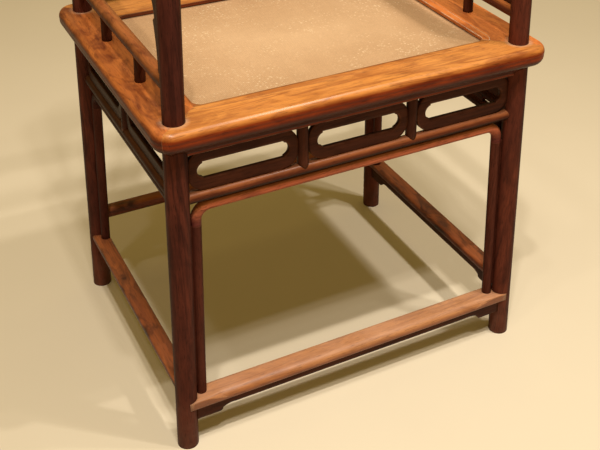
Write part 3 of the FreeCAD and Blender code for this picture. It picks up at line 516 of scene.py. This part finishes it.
seatFrameDustAndShade = {"dust": 0.55, "under": 0.8}
finishes = [
    (("seat_rail_front", "seat_rail_back"), "seatWood", dict(seatWood, **seatFrameDustAndShade)),
    (("binding_strip_front", "binding_strip_back"), "bindingWood", dict(seatWood, lip=0.85)),
    (("binding_strip_right",), "litBindingWood", litBindingWood),
    (("binding_strip",), "sideBindingWood", dict(sideSeatWood, lip=0.85)),
    (("seat_rail_left",), "leftSeatWood", dict(leftSeatWood, **seatFrameDustAndShade)),
    (("seat_rail",), "sideSeatWood", dict(sideSeatWood, **seatFrameDustAndShade)),
    (("ring_panels", "base_struts", "low_struts", "stretcher_apron", "arm_arch", "back_arch"),
     "ornamentWood", ornamentWood),
    (("stretcher_front",), "footRestWood", footRestWood),
    (("stretcher",), "stretcherWood", stretcherWood),
    (("base_rail_left", "base_rail_right", "rod_arch_head_left", "rod_arch_head_right"),
     "paintedShadeRodWood", paintedShadeRodWood),
    (("rod_arch_head",), "archWood", archWood),
    (("rod_arch_posts",), "archPostWood", archPostWood),
    (("base_rail",), "rodWood", dict(rodWood, under=0.9)),
    (("low_rail",), "lowRailWood", lowRailWood),
]
uprightPieces = ("leg_", "rod_arch_posts", "low_struts", "base_struts", "back_arch_strip", "arm_arch_strips")


def finishOf(name):
    for starts, finishName, finish in finishes:
        if name.startswith(starts):
            return finishName, finish
    return "legWood", legWood


def grainOf(name):
    if name.startswith(uprightPieces):
        return "z"
    if name.endswith(("left", "right")):
        return "y"
    return "x"


woodMaterials = {}
for nodeName, nodeObject in nodes.items():
    if nodeName in ("cane_mat", "coir_webbing"):
        continue
    finishName, finish = finishOf(nodeName)
    grainAxis = grainOf(nodeName)
    key = finishName + grainAxis.upper()
    if key not in woodMaterials:
        woodMaterials[key] = woodMaterial(key, finish, grainAxis)
    nodeObject.data.materials.clear()
    nodeObject.data.materials.append(woodMaterials[key])
print("wood finishes:", ", ".join(sorted(woodMaterials)))


# woven mat: stretched over the opening, its edge under the binding strips

matSettings = {
    "cells": (96, 72),
    "cornerRadius": 0.0225,
    "thickness": 0.0024,
    "clear": 0.0002,  # below the underside of the binding strips
    "sag": 0.0030,
    "ripple": 0.0004,
    "rippleTurns": (41.0, 37.0),
    "rippleStart": (1.3, 0.4),
    "pitch": 0.0021,
    "dark": (0.30, 0.17, 0.085),
    "middle": (0.54, 0.325, 0.165),
    "light": (0.64, 0.40, 0.215),
    "worn": (0.89, 0.625, 0.375),
    "wornAmount": 0.42,
    "edgeShade": (0.11, 0.045, 0.022),
    "edgeShadeAmount": 0.85,
    "rough": (0.62, 0.38),  # dull and shining strands
    "bumpStrength": 0.5,
    "bumpDepth": 0.0006,
}
weaveSettings = {
    "wander": {"scale": 60.0, "detail": 2.0},
    "wanderReach": 0.25,  # of a strand's width, to each side
    "strandRound": 0.5,
    "underLift": 0.45,
    "stain": {"scale": 9.0, "detail": 5.0, "roughness": 0.62, "range": (0.32, 0.68)},
    "strandShade": 0.16,
    "fleck": {"scale": 420.0, "detail": 2.0, "roughness": 0.6, "range": (0.42, 0.70)},
    "fleckShade": 0.30,
    "gap": (0.80, 0.20),
    "gapShade": 0.75,
    "shineCells": (0.88, 0.99),
    "shineClusters": {"scale": 17.0, "detail": 4.0, "roughness": 0.6, "range": (0.42, 0.64)},
    "shineAmount": 0.60,
    "shineColor": (0.88, 0.70, 0.46),
}


def makeCaneWeave(settings):
    # plain weave of split cane: strands run both ways and pass over each other in turn
    tree, source, target = newGroup(
        "caneWeave",
        {"Vector": "Vector", "Pitch": "Float", "Dark": "Color", "Middle": "Color", "Light": "Color"},
        {"Color": "Color", "Height": "Float", "Shine": "Float"})
    place = source["Vector"]
    parts = put(tree, "SeparateXYZ", {0: place}).outputs
    reach = settings["wanderReach"]
    wander = remap(tree, noise(tree, place, settings["wander"]), (0.0, 1.0), (-reach, reach))
    cells = {}
    rounds = {}
    strands = {}
    for axis in ("X", "Y"):
        count = calc(tree, "ADD", calc(tree, "DIVIDE", parts[axis], source["Pitch"]), wander)
        cells[axis] = calc(tree, "FLOOR", count)
        inCell = calc(tree, "SUBTRACT", count, cells[axis])
        rounds[axis] = calc(tree, "SINE", times(tree, inCell, math.pi))
        strands[axis] = put(tree, "TexWhiteNoise", {"W": cells[axis]}, noise_dimensions="1D").outputs["Value"]
    parity = calc(tree, "PINGPONG", calc(tree, "ADD", cells["X"], cells["Y"]), 1.0)
    over = choose(tree, parity, rounds["X"], rounds["Y"])
    under = choose(tree, parity, rounds["Y"], rounds["X"])
    strand = choose(tree, parity, strands["X"], strands["Y"])
    over = calc(tree, "POWER", over, settings["strandRound"])
    height = times(tree, over, calc(tree, "ADD", settings["underLift"], under))
    cell = put(tree, "CombineXYZ", {0: cells["X"], 1: cells["Y"], 2: parity}).outputs[0]
    cellTint = put(tree, "TexWhiteNoise", {"Vector": cell}).outputs["Value"]
    color = blend(tree, cloud(tree, place, settings["stain"]), source["Middle"], source["Light"])
    fleck = cloud(tree, place, settings["fleck"])
    gap = remap(tree, height, settings["gap"])
    shades = ((strand, "strandShade"), (fleck, "fleckShade"), (gap, "gapShade"))
    for shade, amount in shades:
        color = blend(tree, times(tree, shade, settings[amount]), color, source["Dark"])
    shine = remap(tree, cellTint, settings["shineCells"])
    shine = times(tree, shine, cloud(tree, place, settings["shineClusters"]))
    # painted glint: the shining strands are painted paler as well as made less rough
    color = blend(tree, times(tree, shine, settings["shineAmount"]), color, solid(settings["shineColor"]))
    fill(tree, target, {"Color": color, "Height": height, "Shine": shine})
    return tree


def insideCorner(x, y, halfX, halfY, radius):
    # points beyond the rounded corner move onto it
    overX = abs(x) - (halfX - radius)
    overY = abs(y) - (halfY - radius)
    if overX <= 0 or overY <= 0:
        return x, y
    reach = math.hypot(overX, overY)
    if reach <= radius:
        return x, y
    return (math.copysign(halfX - radius + overX * radius / reach, x),
            math.copysign(halfY - radius + overY * radius / reach, y))


def sagAt(x, y, halfX, halfY, depth):
    # deepest in the middle, level along the edge
    across = max(0.0, 1 - (x / halfX) ** 2)
    along = max(0.0, 1 - (y / halfY) ** 2)
    return -depth * math.sqrt(across * along)


def rippleAt(x, y, settings):
    turnsX, turnsY = settings["rippleTurns"]
    startX, startY = settings["rippleStart"]
    return settings["ripple"] * math.sin(x * turnsX + startX) * math.sin(y * turnsY + startY)


def makeMat(settings):
    middle, half = middleAndHalf("cane_mat")
    halfX, halfY, halfZ = half
    countX, countY = settings["cells"]
    points = []
    for row in range(countY + 1):
        for column in range(countX + 1):
            x = -halfX + 2 * halfX * column / countX
            y = -halfY + 2 * halfY * row / countY
            x, y = insideCorner(x, y, halfX, halfY, settings["cornerRadius"])
            drop = sagAt(x, y, halfX, halfY, settings["sag"] + rippleAt(x, y, settings))
            points.append((middle[0] + x, middle[1] + y, middle[2] + halfZ - settings["clear"] + drop))
    faces = []
    for row in range(countY):
        for column in range(countX):
            first = row * (countX + 1) + column
            faces.append((first, first + 1, first + countX + 2, first + countX + 1))
    mat = makePiece("wovenMat", points, faces)
    solidify = mat.modifiers.new("thickness", "SOLIDIFY")
    solidify.thickness = settings["thickness"]
    solidify.offset = -1
    return mat, (2 * halfX, 2 * halfY)


def matMaterial(settings):
    material, tree, surface, place = newMaterial("splitCane")
    weave = useGroup(tree, caneWeave, {
        "Vector": place, "Pitch": settings["pitch"], "Dark": solid(settings["dark"]),
        "Middle": solid(settings["middle"]), "Light": solid(settings["light"])})
    rub = bandsOnSeat(tree, place)
    # painted sheen makes the middle of the mat paler
    worn = times(tree, rub["Middle"], settings["wornAmount"])
    # painted shade darkens the mat's edge beside the binding strips
    edgeShade = times(tree, rub["Edge"], settings["edgeShadeAmount"])
    color = blend(tree, worn, weave["Color"], solid(settings["worn"]))
    color = blend(tree, edgeShade, color, solid(settings["edgeShade"]))
    fill(tree, surface, {
        "Base Color": color,
        "Roughness": remap(tree, weave["Shine"], (0.0, 1.0), settings["rough"]),
        "Normal": bump(tree, settings, {"Height": weave["Height"]})})
    return material


caneWeave = makeCaneWeave(weaveSettings)
mat, matFlat = makeMat(matSettings)
mat.data.materials.append(matMaterial(matSettings))
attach(mat, "root")
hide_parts("cane_mat")
print("woven mat made,", [round(size, 3) for size in matFlat])


# coir webbing: cords laced both ways under the mat

webSettings = {
    "pitch": 0.012,
    "cordRadius": 0.0011,
    "sides": 6,
    "step": 0.006,
    "weave": 0.0008,
    "sag": 0.0030,
    "clear": 0.0004,  # below the underside of the mat's place
    "fibre": {"scale": 900.0, "detail": 3.0, "roughness": 0.6, "range": (0.3, 0.7)},
    "dark": (0.07, 0.035, 0.016),
    "light": (0.22, 0.13, 0.065),
    "rough": (0.75, 0.9),
    "bumpStrength": 0.6,
    "bumpDepth": 0.0004,
}


def cordPath(settings, middle, half, along, cord, cordCount):
    # one cord, passing over and under those that cross it
    across = 1 - along
    steps = int(2 * half[along] / settings["step"])
    path = []
    for index in range(steps + 1):
        place = [0.0, 0.0, 0.0]
        place[along] = -half[along] + 2 * half[along] * index / steps
        place[across] = -half[across] + 2 * half[across] * cord / cordCount
        over = math.cos(math.pi * (place[along] / settings["pitch"] + cord + along))
        drop = sagAt(place[0], place[1], half[0], half[1], settings["sag"])
        place[2] = half[2] + drop - settings["cordRadius"] + over * settings["weave"] / 2 - settings["clear"]
        path.append(Vector(middle) + Vector(place))
    return path


def addCord(points, faces, path, acrossAxis, settings):
    # a round cord along the path; one side axis is level and the other is up
    start = len(points)
    sides = settings["sides"]
    for place in path:
        for side in range(sides):
            angle = 2 * math.pi * side / sides
            spread = acrossAxis * math.cos(angle) + Vector((0, 0, math.sin(angle)))
            points.append(place + spread * settings["cordRadius"])
    for ring in range(len(path) - 1):
        for side in range(sides):
            first = start + ring * sides + side
            second = start + ring * sides + (side + 1) % sides
            faces.append((first, second, second + sides, first + sides))


def makeWebbing(settings):
    middle, half = middleAndHalf("coir_webbing")
    points = []
    faces = []
    for along, acrossAxis in enumerate((Vector((0, 1, 0)), Vector((1, 0, 0)))):
        cordCount = int(2 * half[1 - along] / settings["pitch"])
        for cord in range(1, cordCount):
            path = cordPath(settings, middle, half, along, cord, cordCount)
            addCord(points, faces, path, acrossAxis, settings)
    return makePiece("coirWebbing", points, faces)


def coirMaterial(settings):
    material, tree, surface, place = newMaterial("coirFibre")
    fibre = cloud(tree, place, settings["fibre"])
    fill(tree, surface, {
        "Base Color": blend(tree, fibre, solid(settings["dark"]), solid(settings["light"])),
        "Roughness": remap(tree, fibre, (0.0, 1.0), settings["rough"]),
        "Normal": bump(tree, settings, {"Height": fibre})})
    return material


webbing = makeWebbing(webSettings)
webbing.data.materials.append(coirMaterial(webSettings))
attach(webbing, "root")
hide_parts("coir_webbing")
print("webbing made")


# floor, light and camera

floorSettings = {
    "size": 12.0,
    "mottle": {"scale": 3.0, "detail": 4.0},
    "color": (0.82, 0.73, 0.57),
    "shade": (0.77, 0.68, 0.53),
    "rough": 0.8,
}


def makeFloor(settings):
    half = settings["size"] / 2
    corners = [(-half, -half, 0), (half, -half, 0), (half, half, 0), (-half, half, 0)]
    floor = makePiece("floor", corners, [(0, 1, 2, 3)])
    material, tree, surface, place = newMaterial("paleFloor")
    mottle = noise(tree, place, settings["mottle"])
    color = blend(tree, mottle, solid(settings["color"]), solid(settings["shade"]))
    fill(tree, surface, {"Base Color": color, "Roughness": settings["rough"]})
    floor.data.materials.append(material)


lampSettings = {
    "color": (1.0, 0.92, 0.81),
    "aim": (0.0, 0.0, 0.30),
    "height": 2.50,
    "lamps": {
        "leftLamp": {"place": (-0.53, -0.82), "size": 0.06, "power": 13.5},
        "leftInnerLamp": {"place": (-0.36, -0.80), "size": 0.08, "power": 10.2},
        "leftBackLamp": {"place": (-0.50, -0.60), "size": 0.06, "power": 2.9},
        "leftFrontLamp": {"place": (-0.30, -1.20), "size": 0.06, "power": 6.8},
        "middleLamp": {"place": (-0.17, -1.10), "size": 0.08, "power": 9.5},
        "rightLamp": {"place": (0.71, -0.83), "size": 0.06, "power": 11.3},
        "rightBackLamp": {"place": (0.75, -0.55), "size": 0.12, "power": 13.0},
        "rightFrontLamp": {"place": (0.80, -1.00), "size": 0.06, "power": 2.6},
        "farLeftLamp": {"place": (-0.87, -0.47), "size": 0.10, "power": 2.8},
    },
}


def makeLamps(settings):
    for name, lamp in settings["lamps"].items():
        data = bpy.data.lights.new(name, "AREA")
        data.size = lamp["size"]
        data.energy = lamp["power"]
        data.color = settings["color"]
        item = bpy.data.objects.new(name, data)
        bpy.context.collection.objects.link(item)
        item.location = (*lamp["place"], settings["height"])
        item.rotation_euler = (Vector(settings["aim"]) - item.location).to_track_quat("-Z", "Y").to_euler()


worldSettings = {"color": (0.90, 0.64, 0.20), "strength": 0.33}


def makeWorld(settings):
    world = bpy.data.worlds.new("softRoom")
    bpy.context.scene.world = world
    world.use_nodes = True
    background = world.node_tree.nodes["Background"]
    fill(world.node_tree, background, {"Color": solid(settings["color"]), "Strength": settings["strength"]})


cameraSettings = {
    "place": (-0.5426, -1.0927, 1.0259),
    "yaw": 26.88,
    "pitch": 35.31,
    "roll": 0.11,
    "lens": 56.53,
    "sensor": 36.0,
}


def makeCamera(settings):
    data = bpy.data.cameras.new("camera")
    data.lens = settings["lens"]
    data.sensor_width = settings["sensor"]
    camera = bpy.data.objects.new("camera", data)
    bpy.context.collection.objects.link(camera)
    turn = Euler((math.radians(90 - settings["pitch"]), 0.0, math.radians(-settings["yaw"])))
    roll = Matrix.Rotation(math.radians(settings["roll"]), 4, "Z")
    camera.matrix_world = Matrix.Translation(settings["place"]) @ turn.to_matrix().to_4x4() @ roll
    bpy.context.scene.camera = camera


makeFloor(floorSettings)
makeLamps(lampSettings)
makeWorld(worldSettings)
makeCamera(cameraSettings)
bpy.context.scene.view_settings.view_transform = "Standard"
print("floor, lamps and camera set")
